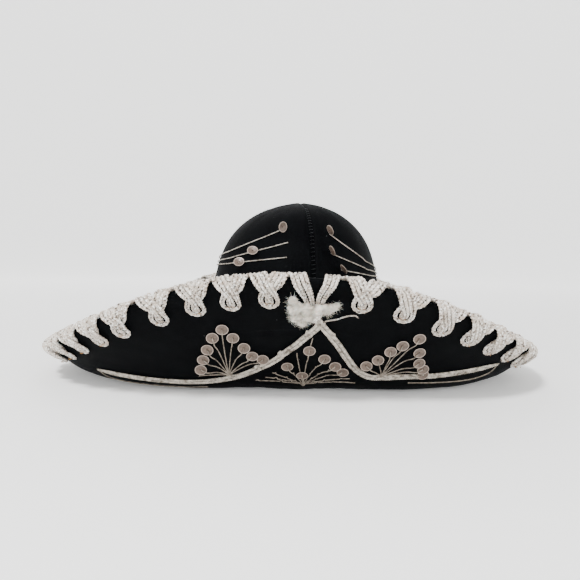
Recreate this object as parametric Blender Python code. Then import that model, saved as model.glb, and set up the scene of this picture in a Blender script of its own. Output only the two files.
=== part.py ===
"""A child's velvet sombrero with its brim turned up at the front and the back.

Metres, +Z up. The origin is the middle of the brim on the surface that the hat rests on.
The front, with the knot of the edge braid, faces -Y. An angle round the hat is in degrees
from the front towards +X. A place on the brim is such an angle and a distance in from the rim.
"""

import math

import bmesh
import bpy
from mathutils import Matrix, Vector
from mathutils.geometry import interpolate_bezier

MM = 0.001
GAP = 0.3 * MM                  # between pieces that touch on the real hat
SHARP_ANGLE = 40                # degrees; an edge that turns more than this is shaded sharp

# Brim: a stiff board between two skins of velvet
HOLE_RADIUS = 77.5 * MM
SEAM_WIDTH = 6.5 * MM           # flat ring that the crown is sewn to
TURN_WIDTH = 117 * MM           # from that ring to the rim, measured along the brim
VELVET = 1.0 * MM
BOARD = 2.4 * MM
BOARD_SHORT = 4 * MM            # the board stops short of the rim, where the wire runs
BRIM_HALF = BOARD / 2 + GAP + VELVET
SIDE_SLOPE, FRONT_SLOPE = 36, 48        # degrees, where the brim has turned up fully
SIDE_START, FRONT_START = 0.55, -0.15   # where the turn starts, in shares of its width
SLOPE_BLEND, START_BLEND = 1.4, 1.9     # how quickly they change from the front to the side
TURN_LENGTH = 0.40                      # share of the width that the turn takes
CROWN_SHIFT = 4.2 * MM                  # the crown was sewn on a little to one side
BRIM_ANGLES, BRIM_ROWS = 52, 7
WIRE_RADIUS, WIRE_DROP = 0.8 * MM, 1.8 * MM
WIRE_FACETS = 1

# Crown: velvet panels on a stiff shell, with a lining and a sweatband. Its outer face is two
# curves, each given by four control points: millimetres out from the middle, and up.
CROWN_FOOT = 5.8 * MM
CROWN_WALL = ((81.5, 5.8), (80.0, 30.0), (72.8, 61.0), (66.8, 87.5))
CROWN_DOME = ((66.8, 87.5), (59.0, 122.0), (36.0, 138.5), (0.0, 142.8))
WALL_POINTS, DOME_POINTS = 5, 8
CROWN_HEIGHT = 143 * MM
APEX_LEAN, LEAN_BEND = 3.0 * MM, 6      # the tip leans to one side, and hardly anything below it
SHELL = 2.0 * MM
LINING = 0.6 * MM
SWEATBAND, SWEATBAND_HEIGHT, SWEATBAND_FOOT = 1.2 * MM, 30 * MM, 0.5 * MM
SWEATBAND_CLEAR = 1.4 * MM      # room for the gaps of the layers outside it
CROWN_ANGLES = 36
PANELS, PANEL_COLUMNS = 4, 10
SEAM_ANGLE = 11                 # degrees, the front seam of the panels
TIP_RADIUS, TIP_DROP = 2 * MM, 0.25 * MM    # the small opening that the panels leave at the tip

# Edge braid: a flat plait looped over the rim
BRAID = 1.6 * MM
BRAID_CLEAR = 0.9 * MM
BRAID_MIDDLE = BRIM_HALF + BRAID_CLEAR + BRAID / 2
LOOPS = 44
LOOP_HANG, BETWEEN_HANG, UPPER_HANG = 24 * MM, 3 * MM, 9 * MM
LOOP_SPREAD = 0.24              # half of a loop's flat bottom, in shares of the pitch
CREST_ROWS = 3                  # steps of the braid's turn over the rim
KNOT_ANGLE = 5.5
FIRST_LOOP = 10.7               # degrees from the knot to the loop beside it
LEG_WIDTH = 5 * MM

# Trim sewn on the outer side of the brim
TRIM_CLEAR = 0.9 * MM
SCROLL_WIDTH, SCROLL = 5.0 * MM, 1.2 * MM
THREAD_RADIUS = 0.5 * MM
STEM_WIDTH, STEM, STEM_STEP = 0.7 * MM, 0.6 * MM, 9 * MM
SEQUIN_RADIUS, SEQUIN = 4.1 * MM, 0.4 * MM
OVER_STEM = TRIM_CLEAR + STEM + 0.9 * MM    # height of a sequin's middle over the velvet


def smooth(t):
    t = min(max(t, 0.0), 1.0)
    return t * t * (3 - 2 * t)


def outward(angle):
    """Unit vector away from the middle, at an angle from the front towards +X."""
    turn = math.radians(angle)
    return Vector((math.sin(turn), -math.cos(turn), 0))


def slope(angle, along):
    """How steeply the brim rises, in radians, at a distance along it from its hole."""
    if along < SEAM_WIDTH:
        return 0.0
    facing = abs(math.cos(math.radians(angle)))
    full = SIDE_SLOPE + (FRONT_SLOPE - SIDE_SLOPE) * facing**SLOPE_BLEND
    start = SIDE_START + (FRONT_START - SIDE_START) * facing**START_BLEND
    share = (along - SEAM_WIDTH) / TURN_WIDTH
    return math.radians(full) * smooth((share - start) / TURN_LENGTH)


def brim_point(angle, along):
    """A point of the brim's middle surface."""
    reach, height, steps = HOLE_RADIUS, BRIM_HALF, 30
    for i in range(steps):
        tilt = slope(angle, along * (i + 0.5) / steps)
        reach += math.cos(tilt) * along / steps
        height += math.sin(tilt) * along / steps
    shift = CROWN_SHIFT * (1 - along / (SEAM_WIDTH + TURN_WIDTH))
    return outward(angle) * reach + Vector((shift, 0, height))


def brim_frame(angle, drop):
    """Point, outer normal and uphill direction of the brim's middle, drop in from the rim."""
    along = SEAM_WIDTH + TURN_WIDTH - drop
    step = 0.5 * MM
    point = brim_point(angle, along)
    uphill = (point - brim_point(angle, along - step)).normalized()
    sideways = brim_point(angle + 0.5, along) - brim_point(angle - 0.5, along)
    return point, uphill.cross(sideways).normalized() * -1, uphill


def on_brim(angle, drop, height):
    """A point at a height over the brim's outer velvet."""
    point, normal, _ = brim_frame(angle, drop)
    return point + normal * (BRIM_HALF + height), normal


def over_edge(angle, drop):
    """The braid's middle: drop below the crest outside, or past it on the upper side."""
    if drop >= 0:
        point, normal, _ = brim_frame(angle, drop)
        return point + normal * BRAID_MIDDLE
    point, normal, uphill = brim_frame(angle, 0)
    half_turn = math.pi * BRAID_MIDDLE
    if drop > -half_turn:
        turn = -drop / BRAID_MIDDLE
        return point + (normal * math.cos(turn) + uphill * math.sin(turn)) * BRAID_MIDDLE
    point, normal, _ = brim_frame(angle, -drop - half_turn)
    return point - normal * BRAID_MIDDLE


def crown_profile():
    """(radius, height) pairs of the crown's outer face, from its foot to its tip."""
    wall = interpolate_bezier(*[Vector((r, z, 0)) * MM for r, z in CROWN_WALL], WALL_POINTS)
    top = interpolate_bezier(*[Vector((r, z, 0)) * MM for r, z in CROWN_DOME], DOME_POINTS)
    return [(p.x, p.y) for p in wall[:-1] + top]


def crown_shift(height):
    return CROWN_SHIFT + APEX_LEAN * (height / CROWN_HEIGHT) ** LEAN_BEND


def crown_point(angle, radius, height):
    return outward(angle) * radius + Vector((crown_shift(height), 0, height))


def crown_radius(height):
    profile = crown_profile()
    for (r0, z0), (r1, z1) in zip(profile, profile[1:]):
        if height <= z1:
            return r0 + (r1 - r0) * (height - z0) / (z1 - z0)
    return 0.0


def on_crown(angle, height, over):
    """A point over the crown's velvet, and the outer normal there."""
    step = 1 * MM
    point = crown_point(angle, crown_radius(height), height)
    up = crown_point(angle, crown_radius(height + step), height + step) - point
    side = outward(angle + 90)
    normal = side.cross(up).normalized()
    return point + normal * over, normal


def material(name, colour, roughness, metallic=0.0):
    made = bpy.data.materials.get(name)
    if made is None:
        made = bpy.data.materials.new(name)
        made.use_nodes = True
        shader = made.node_tree.nodes["Principled BSDF"]
        shader.inputs["Base Color"].default_value = (*colour, 1)
        shader.inputs["Roughness"].default_value = roughness
        shader.inputs["Metallic"].default_value = metallic
    return made


def black_velvet():
    return material("black_velvet", (0.006, 0.007, 0.009), 0.9)


def white_braid():
    return material("white_braid", (0.72, 0.68, 0.62), 0.55)


def silver_thread():
    return material("silver_thread", (0.62, 0.60, 0.56), 0.35, 0.5)


def sequin_film():
    return material("sequin_film", (0.66, 0.58, 0.55), 0.25, 0.6)


def add_mesh(name, points, faces, finish):
    mesh = bpy.data.meshes.new(name)
    mesh.from_pydata([tuple(p) for p in points], [], faces)
    mesh.shade_smooth()
    mesh.set_sharp_from_angle(angle=math.radians(SHARP_ANGLE))
    mesh.materials.append(finish)
    piece = bpy.data.objects.new(name, mesh)
    bpy.context.scene.collection.objects.link(piece)
    return piece


def thicken(piece, low, high):
    """Makes a sheet solid from low to high, measured along its normals."""
    solidify = piece.modifiers.new("thickness", "SOLIDIFY")
    solidify.thickness = high - low
    solidify.offset = 2 * high / (high - low) - 1
    solidify.use_even_offset = True


def grid_faces(rows, columns, closed):
    """Quads of a grid whose points run along the columns first."""
    last = columns if closed else columns - 1
    return [
        (r * columns + c, r * columns + (c + 1) % columns,
         (r + 1) * columns + (c + 1) % columns, (r + 1) * columns + c)
        for r in range(rows - 1) for c in range(last)
    ]


def brim_layer(name, finish, low, high, to_rim=True):
    """One layer of the brim, from low to high over its middle surface."""
    board_width = TURN_WIDTH - BOARD_SHORT
    distances = [0.0] + [SEAM_WIDTH + board_width * i / BRIM_ROWS for i in range(BRIM_ROWS + 1)]
    if to_rim:
        distances.append(SEAM_WIDTH + TURN_WIDTH)
    points = [
        brim_point(360 * c / BRIM_ANGLES, along)
        for along in distances for c in range(BRIM_ANGLES)
    ]
    upwards = [face[::-1] for face in grid_faces(len(distances), BRIM_ANGLES, True)]
    thicken(add_mesh(name, points, upwards, finish), low, high)


def brim():
    board = material("grey_board", (0.30, 0.26, 0.21), 0.85)
    brim_layer("brim_board", board, -BOARD / 2, BOARD / 2, to_rim=False)
    brim_layer("brim_velvet_upper", black_velvet(), BOARD / 2 + GAP, BRIM_HALF)
    brim_layer("brim_velvet_under", black_velvet(), -BRIM_HALF, -BOARD / 2 - GAP)
    steel = material("steel_wire", (0.45, 0.45, 0.46), 0.35, 1.0)
    middle = [brim_frame(360 * c / BRIM_ANGLES, WIRE_DROP)[0] for c in range(BRIM_ANGLES)]
    tube("brim_edge_wire", middle, WIRE_RADIUS, steel, closed=True)


def tube(name, points, radius, finish, closed=False):
    curve = bpy.data.curves.new(name, "CURVE")
    curve.dimensions = "3D"
    curve.bevel_depth = radius
    curve.bevel_resolution = WIRE_FACETS
    curve.use_fill_caps = not closed
    spline = curve.splines.new("POLY")
    spline.points.add(len(points) - 1)
    for knot, point in zip(spline.points, points):
        knot.co = (*point, 1)
    spline.use_cyclic_u = closed
    curve.materials.append(finish)
    piece = bpy.data.objects.new(name, curve)
    bpy.context.scene.collection.objects.link(piece)


def dome(name, finish, low, high):
    """A whole layer of the crown, closed at its tip."""
    profile = crown_profile()
    points = [
        crown_point(360 * c / CROWN_ANGLES, radius, height)
        for radius, height in profile[:-1] for c in range(CROWN_ANGLES)
    ]
    faces = grid_faces(len(profile) - 1, CROWN_ANGLES, True)
    tip, top_row = len(points), len(points) - CROWN_ANGLES
    points.append(crown_point(0, 0, profile[-1][1]))
    faces += [(top_row + c, top_row + (c + 1) % CROWN_ANGLES, tip) for c in range(CROWN_ANGLES)]
    thicken(add_mesh(name, points, faces, finish), low, high)


def panel(name, first_angle):
    """One of the velvet panels, cut short of its seams and of the tip."""
    points = []
    rows = [p for p in crown_profile() if p[0] > 2 * TIP_RADIUS]
    rows.append((TIP_RADIUS, crown_profile()[-1][1] - TIP_DROP))
    for radius, height in rows:
        inset = math.degrees(GAP / 2 / radius)
        span = 360 / PANELS - 2 * inset
        for c in range(PANEL_COLUMNS):
            angle = first_angle + inset + span * c / (PANEL_COLUMNS - 1)
            points.append(crown_point(angle, radius, height))
    sheet = add_mesh(name, points, grid_faces(len(rows), PANEL_COLUMNS, False), black_velvet())
    thicken(sheet, -VELVET, 0)


def sweatband():
    """The band inside the foot of the crown, which runs through the brim's hole."""
    band = material("sweatband_ribbon", (0.02, 0.02, 0.022), 0.6)
    rows = [(crown_radius(CROWN_FOOT), z) for z in (SWEATBAND_FOOT, CROWN_FOOT)]
    rows += [(crown_radius(z), z) for z in (14 * MM, 22 * MM, SWEATBAND_HEIGHT)]
    points = [
        crown_point(360 * c / CROWN_ANGLES, radius, height)
        for radius, height in rows for c in range(CROWN_ANGLES)
    ]
    sheet = add_mesh("sweatband", points, grid_faces(len(rows), CROWN_ANGLES, True), band)
    outer = VELVET + SHELL + LINING + SWEATBAND_CLEAR
    thicken(sheet, -outer - SWEATBAND, -outer)


def crown():
    buckram = material("buckram", (0.55, 0.50, 0.42), 0.9)
    satin = material("satin_lining", (0.015, 0.015, 0.018), 0.4)
    for i in range(PANELS):
        panel(f"crown_velvet_panel_{i + 1}", SEAM_ANGLE + 360 / PANELS * i)
    shell_top = -VELVET - GAP
    dome("crown_shell", buckram, shell_top - SHELL, shell_top)
    lining_top = shell_top - SHELL - GAP
    dome("crown_lining", satin, lining_top - LINING, lining_top)
    sweatband()


def loop_angles():
    """The middle of each loop of the edge braid, in even steps along the rim from the knot."""
    steps = 720
    around = [KNOT_ANGLE + 360 * i / steps for i in range(steps + 1)]
    rim = [brim_point(a, SEAM_WIDTH + TURN_WIDTH) for a in around]
    length = [0.0]
    for p, q in zip(rim, rim[1:]):
        length.append(length[-1] + (q - p).length)
    first = length[round(FIRST_LOOP / 360 * steps)]
    pitch = (length[-1] - 2 * first) / (LOOPS - 1)
    angles = []
    for i in range(LOOPS):
        wanted = first + i * pitch
        at = next(k for k, value in enumerate(length) if value >= wanted)
        angles.append(around[at])
    return angles


def edge_braid():
    """The looped braid as one ring over the rim, with a tongue where each loop hangs."""
    angles, drops = [], []
    loops = loop_angles()
    gaps = [(b - a) for a, b in zip(loops, loops[1:])]
    angles.append(loops[0] - gaps[0] / 2)
    drops.append(BETWEEN_HANG)
    for i, middle in enumerate(loops):
        step = gaps[min(i, len(gaps) - 1)]
        for share, drop in ((-LOOP_SPREAD, LOOP_HANG), (LOOP_SPREAD, LOOP_HANG), (0.5, BETWEEN_HANG)):
            angles.append(middle + step * share)
            drops.append(drop)
    half_turn = math.pi * BRAID_MIDDLE
    crest = [-half_turn - UPPER_HANG]
    crest += [-half_turn * (1 - i / CREST_ROWS) for i in range(CREST_ROWS + 1)]
    points = [over_edge(a, drop) for drop in crest for a in angles]
    points += [over_edge(a, drop * share) for share in (0.5, 1.0) for a, drop in zip(angles, drops)]
    faces = grid_faces(len(crest) + 2, len(angles), True)
    ring = add_mesh("edge_braid", points, faces, white_braid())
    thicken(ring, -BRAID / 2, BRAID / 2)


def smooth_route(stops, pieces=4):
    """Points of a smooth curve through stops, each an (angle, drop) pair."""
    route = [Vector((a, d, 0)) for a, d in stops]
    ends = [route[0] * 2 - route[1], *route, route[-1] * 2 - route[-2]]
    points = []
    for p0, p1, p2, p3 in zip(ends, ends[1:], ends[2:], ends[3:]):
        bezier = interpolate_bezier(p1, p1 + (p2 - p0) / 6, p2 - (p3 - p1) / 6, p2, pieces + 1)
        points += bezier[:-1]
    points.append(route[-1])
    return [(p.x, p.y) for p in points]


def strip(name, stops, width, thickness, finish):
    """A flat braid laid on the brim along a route."""
    middle = [on_brim(a, d, TRIM_CLEAR + thickness / 2) for a, d in smooth_route(stops)]
    points = []
    for i, (point, normal) in enumerate(middle):
        ahead = middle[min(i + 1, len(middle) - 1)][0] - middle[max(i - 1, 0)][0]
        across = normal.cross(ahead).normalized() * width / 2
        points += [point - across, point + across]
    sheet = add_mesh(name, points, grid_faces(len(middle), 2, False), finish)
    thicken(sheet, -thickness / 2, thickness / 2)


def thread(name, stops, radius, finish):
    height = TRIM_CLEAR + radius
    tube(name, [on_brim(a, d, height)[0] for a, d in smooth_route(stops, 3)], radius, finish)


def turned(stops, by):
    return [(a + by, d) for a, d in stops]


# Routes of the scroll braids, which run from the knot round each side, and of the leaf
# threads at their far ends: degrees from the front, and metres in from the rim.
SCROLL_RIGHT = [
    (7.4, 0.039), (11.6, 0.053), (17, 0.068), (22, 0.079),
    (29, 0.084), (37, 0.078), (46, 0.066), (57, 0.038)]
SCROLL_LEFT = [
    (3.2, 0.043), (1.0, 0.058), (-4, 0.072), (-12, 0.083),
    (-20, 0.090), (-29, 0.089), (-42, 0.077), (-60, 0.038)]
LEAF_RIGHT = [(60, 0.040), (57, 0.053), (50, 0.067), (42, 0.081)]
LEAF_LEFT = [(-63, 0.040), (-61, 0.049), (-55, 0.060), (-47, 0.072)]


def scrolls():
    for side, route, leaf in (("right", SCROLL_RIGHT, LEAF_RIGHT), ("left", SCROLL_LEFT, LEAF_LEFT)):
        strip(f"scroll_braid_front_{side}", route, SCROLL_WIDTH, SCROLL, silver_thread())
        thread(f"leaf_thread_front_{side}", leaf, THREAD_RADIUS, silver_thread())
        strip(f"scroll_braid_back_{side}", turned(route, 180), SCROLL_WIDTH, SCROLL, silver_thread())
        thread(f"leaf_thread_back_{side}", turned(leaf, 180), THREAD_RADIUS, silver_thread())


def star(name, place, stems, finish):
    """Stems sewn out from one point, as one flat star. place(x, y) maps the flat plan to the hat."""
    fan = sorted(stems)
    closest = min(b[0] - a[0] for a, b in zip(fan, fan[1:]))
    hub = 1.1 * STEM_WIDTH / math.radians(closest)
    points, faces, ring = [], [], []
    for turn, length in fan:
        ahead = Vector((math.sin(math.radians(turn)), math.cos(math.radians(turn))))
        across = Vector((ahead.y, -ahead.x)) * STEM_WIDTH / 2
        parts = math.ceil(length / STEM_STEP)
        rows = [hub + (length - hub) * k / parts for k in range(parts + 1)]
        first = len(points)
        for distance in rows:
            at = ahead * distance
            points += [place(*(at - across)), place(*(at + across))]
        faces += [tuple(first + k for k in face) for face in grid_faces(len(rows), 2, False)]
        ring += [first, first + 1]
    faces.append(tuple(ring)[::-1])
    thicken(add_mesh(name, points, faces, finish), 0, STEM)


def brim_plan(angle, drop):
    """Maps a flat plan with +y towards the rim to the brim round one place."""
    reach = brim_frame(angle, drop)[0].to_2d().length

    def place(x, y):
        return on_brim(angle + math.degrees(x / reach), drop - y, TRIM_CLEAR)[0]

    return place


def crown_plan(angle, height):
    def place(x, y):
        at = height + y
        return on_crown(angle + math.degrees(x / crown_radius(at)), at, TRIM_CLEAR)[0]

    return place


# Each spray: the angle and drop of its middle, and (degrees from uphill, millimetres) of
# every stem. Every stem ends in a sequin, apart from the bare ones of the centre spray.
SPRAY_LEFT = (-24, 0.0805, [
    (-78, 16), (-66, 17), (-50, 22), (-31, 28), (-10, 37), (14, 41), (31, 36), (50, 31), (68, 32)])
SPRAY_CENTRE = (2.6, 0.106, [
    (-75, 21), (-60, 26), (-41, 24), (-10, 34), (14, 39), (34, 39), (54, 36), (66, 37)])
SPRAY_RIGHT = (30, 0.074, [
    (-72, 16), (-35, 15), (-11, 23), (2, 31), (19, 40), (32, 33), (47, 27), (60, 27), (74, 26)])
BARE_CENTRE = {-75, -60}
SPRAYS = (("left", SPRAY_LEFT), ("centre", SPRAY_CENTRE), ("right", SPRAY_RIGHT))


def sequin(name, point, normal):
    """A sequin flat on the velvet, clear of the stem it covers."""
    mesh = bpy.data.meshes.new(name)
    disc = bmesh.new()
    bmesh.ops.create_cone(
        disc, cap_ends=True, segments=8, radius1=SEQUIN_RADIUS, radius2=SEQUIN_RADIUS, depth=SEQUIN)
    disc.to_mesh(mesh)
    disc.free()
    mesh.materials.append(sequin_film())
    piece = bpy.data.objects.new(name, mesh)
    turn = normal.to_track_quat("Z", "Y").to_matrix().to_4x4()
    piece.matrix_world = Matrix.Translation(point) @ turn
    bpy.context.scene.collection.objects.link(piece)


def sprays():
    for side, (angle, drop, stems) in SPRAYS:
        fan = [(turn, length * MM) for turn, length in stems]
        star(f"spray_threads_front_{side}", brim_plan(angle, drop), fan, silver_thread())
        star(f"spray_threads_back_{side}", brim_plan(angle + 180, drop), fan, silver_thread())
        reach = brim_frame(angle, drop)[0].to_2d().length
        ends = [stem for stem in fan if not (side == "centre" and stem[0] in BARE_CENTRE)]
        for i, (turn, length) in enumerate(ends):
            x, y = length * math.sin(math.radians(turn)), length * math.cos(math.radians(turn))
            lift = OVER_STEM + (i % 2) * (SEQUIN + GAP)
            point, normal = on_brim(angle + math.degrees(x / reach), drop - y, lift)
            sequin(f"sequin_{side}_{i + 1}", point, normal)


# The same for the two sprays on the sides of the crown, from their middle at this angle
# and height.
CROWN_STEMS = [(-78, 66), (-66, 72), (-52, 70), (0, 34), (52, 50), (66, 52), (78, 48)]
CROWN_SPRAY_ANGLE, CROWN_SPRAY_HEIGHT = 122, 78 * MM


def crown_sprays():
    fan = [(turn, length * MM) for turn, length in CROWN_STEMS]
    mirror = [(-turn, length) for turn, length in fan]
    for side, angle, stems in (("right", CROWN_SPRAY_ANGLE, fan), ("left", -CROWN_SPRAY_ANGLE, mirror)):
        place = crown_plan(angle, CROWN_SPRAY_HEIGHT)
        star(f"crown_spray_threads_{side}", place, stems, silver_thread())


# The knot and its tufts: degrees from the knot, drop from the rim, height over the velvet,
# half sizes along the rim, towards it and away from the velvet, all mm, and a turn in degrees
KNOT_LUMP = (0.0, 28, 5.0, (4.5, 5.0, 3.6), 0)
TUFT_LEFT = (-4.7, 28, 6.0, (7.0, 9.5, 4.5), 10)
TUFT_RIGHT = (5.2, 27, 5.5, (8.6, 4.0, 3.8), 12)
# Stops of a knot leg and of the loose thread: degrees from the knot and metres in from the rim
KNOT_LEG = [(3.2, 0.0062), (2.0, 0.0140), (1.4, 0.0215)]
LOOSE_THREAD = [(4.2, 0.0385), (7.2, 0.0345), (10.0, 0.0295)]


def lump(name, shape, finish):
    """A soft lump over the brim."""
    off, drop, over, size, turn = shape
    angle = KNOT_ANGLE + off
    mesh = bpy.data.meshes.new(name)
    ball = bmesh.new()
    bmesh.ops.create_icosphere(ball, subdivisions=2, radius=1)
    bmesh.ops.scale(ball, vec=Vector(size) * MM, verts=ball.verts)
    point, normal = on_brim(angle, drop * MM, over * MM)
    uphill = brim_frame(angle, drop * MM)[2]
    side = uphill.cross(normal)
    axes = Matrix((side, uphill, normal)).transposed() @ Matrix.Rotation(math.radians(turn), 3, "Z")
    bmesh.ops.transform(ball, matrix=Matrix.Translation(point) @ axes.to_4x4(), verts=ball.verts)
    ball.to_mesh(mesh)
    ball.free()
    mesh.shade_smooth()
    mesh.materials.append(finish)
    piece = bpy.data.objects.new(name, mesh)
    bpy.context.scene.collection.objects.link(piece)


def knot():
    """Where the ends of the edge braid are tied, with their frayed tufts."""
    fluff = material("frayed_cotton", (0.80, 0.76, 0.68), 0.9)
    lump("braid_knot", KNOT_LUMP, white_braid())
    lump("frayed_end_left", TUFT_LEFT, fluff)
    lump("frayed_end_right", TUFT_RIGHT, fluff)
    for side, reach in (("left", -1), ("right", 1)):
        stops = [(KNOT_ANGLE + off * reach, drop) for off, drop in KNOT_LEG]
        strip(f"knot_leg_{side}", stops, LEG_WIDTH, BRAID, white_braid())
    stray = turned(LOOSE_THREAD, KNOT_ANGLE)
    thread("loose_thread", stray, THREAD_RADIUS, white_braid())


def main():
    for old in list(bpy.data.objects):
        bpy.data.objects.remove(old)
    brim()
    crown()
    edge_braid()
    scrolls()
    sprays()
    crown_sprays()
    knot()


main()
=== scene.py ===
"""The looks of a child's velvet sombrero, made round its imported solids.

Metres, +Z up, the front towards -Y. A place on the brim is an angle in degrees from the front
towards +X, and a drop in from the rim, measured along the brim. A drop below zero goes round
the rim and down the upper side.
"""

import math

import bpy
import numpy as np
from mathutils import Matrix, Vector


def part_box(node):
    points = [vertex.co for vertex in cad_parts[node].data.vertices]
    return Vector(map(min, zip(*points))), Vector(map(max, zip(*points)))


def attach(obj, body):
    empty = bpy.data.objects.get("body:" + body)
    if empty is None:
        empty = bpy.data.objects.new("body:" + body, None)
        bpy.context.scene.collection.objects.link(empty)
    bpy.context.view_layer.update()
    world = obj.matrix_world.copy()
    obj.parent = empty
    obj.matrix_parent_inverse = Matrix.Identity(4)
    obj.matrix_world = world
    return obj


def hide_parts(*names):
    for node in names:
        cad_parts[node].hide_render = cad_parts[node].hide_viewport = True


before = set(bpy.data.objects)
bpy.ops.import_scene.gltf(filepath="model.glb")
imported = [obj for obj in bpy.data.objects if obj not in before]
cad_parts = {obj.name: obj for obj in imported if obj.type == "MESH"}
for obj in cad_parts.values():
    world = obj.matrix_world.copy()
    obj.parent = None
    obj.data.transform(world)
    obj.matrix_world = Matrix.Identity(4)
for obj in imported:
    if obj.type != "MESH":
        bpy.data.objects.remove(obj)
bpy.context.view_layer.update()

MM = 0.001
PI = math.pi
draw = np.random.default_rng(7)

# The brim and the crown follow the same laws as their solids
HOLE_RADIUS = 77.5 * MM
SEAM_WIDTH = 6.5 * MM
TURN_WIDTH = 117 * MM
BRIM_WIDTH = SEAM_WIDTH + TURN_WIDTH
BRIM_HALF = 2.5 * MM
SIDE_SLOPE, FRONT_SLOPE = 36, 48
SIDE_START, FRONT_START = 0.55, -0.15
SLOPE_BLEND, START_BLEND = 1.4, 1.9
TURN_LENGTH = 0.40
CROWN_SHIFT = 4.2 * MM
CROWN_WALL = ((81.5, 5.8), (80.0, 30.0), (72.8, 61.0), (66.8, 87.5))
CROWN_DOME = ((66.8, 87.5), (59.0, 122.0), (36.0, 138.5), (0.0, 142.8))
CROWN_HEIGHT = 143 * MM
APEX_LEAN, LEAN_BEND = 3.0 * MM, 6
SEAM_ANGLE, PANELS = 11, 4
KNOT_ANGLE = 5.5
HALF_TURN = PI * 4.2 * MM       # length of the way round the rim, at the middle of the braid


# ---------------------------------------------------------------- shapes of the brim and crown

def smooth(t):
    t = np.clip(t, 0, 1)
    return t * t * (3 - 2 * t)


def unit(v):
    return v / np.linalg.norm(v, axis=-1, keepdims=True)


def outward(angle):
    turn = np.radians(angle)
    return np.stack([np.sin(turn), -np.cos(turn), np.zeros_like(turn)], -1)


def slope(angle, along):
    facing = np.abs(np.cos(np.radians(angle)))
    full = SIDE_SLOPE + (FRONT_SLOPE - SIDE_SLOPE) * facing**SLOPE_BLEND
    start = SIDE_START + (FRONT_START - SIDE_START) * facing**START_BLEND
    share = (along - SEAM_WIDTH) / TURN_WIDTH
    return np.where(along < SEAM_WIDTH, 0, np.radians(full) * smooth((share - start) / TURN_LENGTH))


def brim_point(angle, along):
    """Points of the brim's middle surface."""
    steps = 30
    reach = np.full_like(along, HOLE_RADIUS)
    height = np.full_like(along, BRIM_HALF)
    for i in range(steps):
        tilt = slope(angle, along * (i + 0.5) / steps)
        reach += np.cos(tilt) * along / steps
        height += np.sin(tilt) * along / steps
    shift = CROWN_SHIFT * (1 - along / BRIM_WIDTH)
    flat = np.zeros_like(along)
    return outward(angle) * reach[..., None] + np.stack([shift, flat, height], -1)


def brim_frame(angle, drop):
    """Points, outer normals and uphill directions of the brim's middle surface."""
    along = BRIM_WIDTH - drop
    step = 0.5 * MM
    point = brim_point(angle, along)
    uphill = unit(point - brim_point(angle, along - step))
    sideways = brim_point(angle + 0.5, along) - brim_point(angle - 0.5, along)
    return point, -unit(np.cross(uphill, sideways)), uphill


def over_brim(angle, drop, height):
    """Points at a height over the brim's velvet, and the directions that point away from it."""
    angle, drop, height = np.broadcast_arrays(*[np.asarray(v, float) for v in (angle, drop, height)])
    turn = np.clip(-drop, 0, HALF_TURN) / HALF_TURN * PI
    inside = np.maximum(-drop - HALF_TURN, 0)
    point, normal, uphill = brim_frame(angle, np.where(drop > 0, drop, inside))
    away = normal * np.cos(turn)[..., None] + uphill * np.sin(turn)[..., None]
    return point + away * (BRIM_HALF + height)[..., None], away


def bezier(controls, t):
    a, b, c, d = [np.array(p) * MM for p in controls]
    t = t[:, None]
    return a * (1 - t)**3 + 3 * b * t * (1 - t)**2 + 3 * c * t * t * (1 - t) + d * t**3


PROFILE = np.vstack([
    bezier(CROWN_WALL, np.linspace(0, 1, 60)), bezier(CROWN_DOME, np.linspace(0, 1, 90))[1:]])
PROFILE_LENGTH = np.concatenate([[0], np.cumsum(np.linalg.norm(np.diff(PROFILE, axis=0), axis=1))])


def crown_at(angle, climb, over):
    """Points over the crown's velvet, a climb up its profile from its foot, and the normals."""
    angle, climb, over = np.broadcast_arrays(*[np.asarray(v, float) for v in (angle, climb, over)])
    step = 0.3 * MM
    radius, height = [np.interp(climb, PROFILE_LENGTH, PROFILE[:, k]) for k in (0, 1)]
    rise = [
        np.interp(climb + step, PROFILE_LENGTH, PROFILE[:, k])
        - np.interp(climb - step, PROFILE_LENGTH, PROFILE[:, k]) for k in (0, 1)]
    out = outward(angle)
    up = np.array([0.0, 0.0, 1.0])
    normal = unit(out * rise[1][..., None] - up * rise[0][..., None])
    shift = CROWN_SHIFT + APEX_LEAN * (height / CROWN_HEIGHT)**LEAN_BEND
    place = out * radius[..., None] + np.stack([shift, np.zeros_like(shift), height], -1)
    return place + normal * over[..., None], normal


def climb_to(height):
    """The climb up the crown's profile that reaches a height."""
    return np.interp(height, PROFILE[:, 1], PROFILE_LENGTH)


# ---------------------------------------------------------------- materials

def hex_colour(code):
    """sRGB hex to a linear colour."""
    channels = [int(code[i:i + 2], 16) / 255 for i in (1, 3, 5)]
    return [*[c / 12.92 if c <= 0.04045 else ((c + 0.055) / 1.055)**2.4 for c in channels], 1.0]


def add(tree, kind, **settings):
    """Adds a node. A setting is an attribute, a socket's value or a link to that socket."""
    made = tree.nodes.new("ShaderNode" + kind)
    for name, value in settings.items():
        if hasattr(made, name):
            setattr(made, name, value)
            continue
        numbered = name[0] == "i" and name[1:].isdigit()
        socket = made.inputs[int(name[1:]) if numbered else name.replace("_", " ")]
        if isinstance(value, bpy.types.NodeSocket):
            tree.links.new(value, socket)
        else:
            socket.default_value = value
    return made


def maths(tree, operation, a, b=0.5, c=0.5):
    return add(tree, "Math", operation=operation, i0=a, i1=b, i2=c).outputs[0]


def blend(tree, share, low, high):
    """A colour between two, each a hex code or a colour socket."""
    ends = [hex_colour(c) if isinstance(c, str) else c for c in (low, high)]
    return add(tree, "Mix", data_type="RGBA", i0=share, i6=ends[0], i7=ends[1]).outputs[2]


def ramp(tree, value, low, high):
    """0 below low and 1 above high."""
    return add(tree, "MapRange", Value=value, From_Min=low, From_Max=high).outputs[0]


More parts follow.
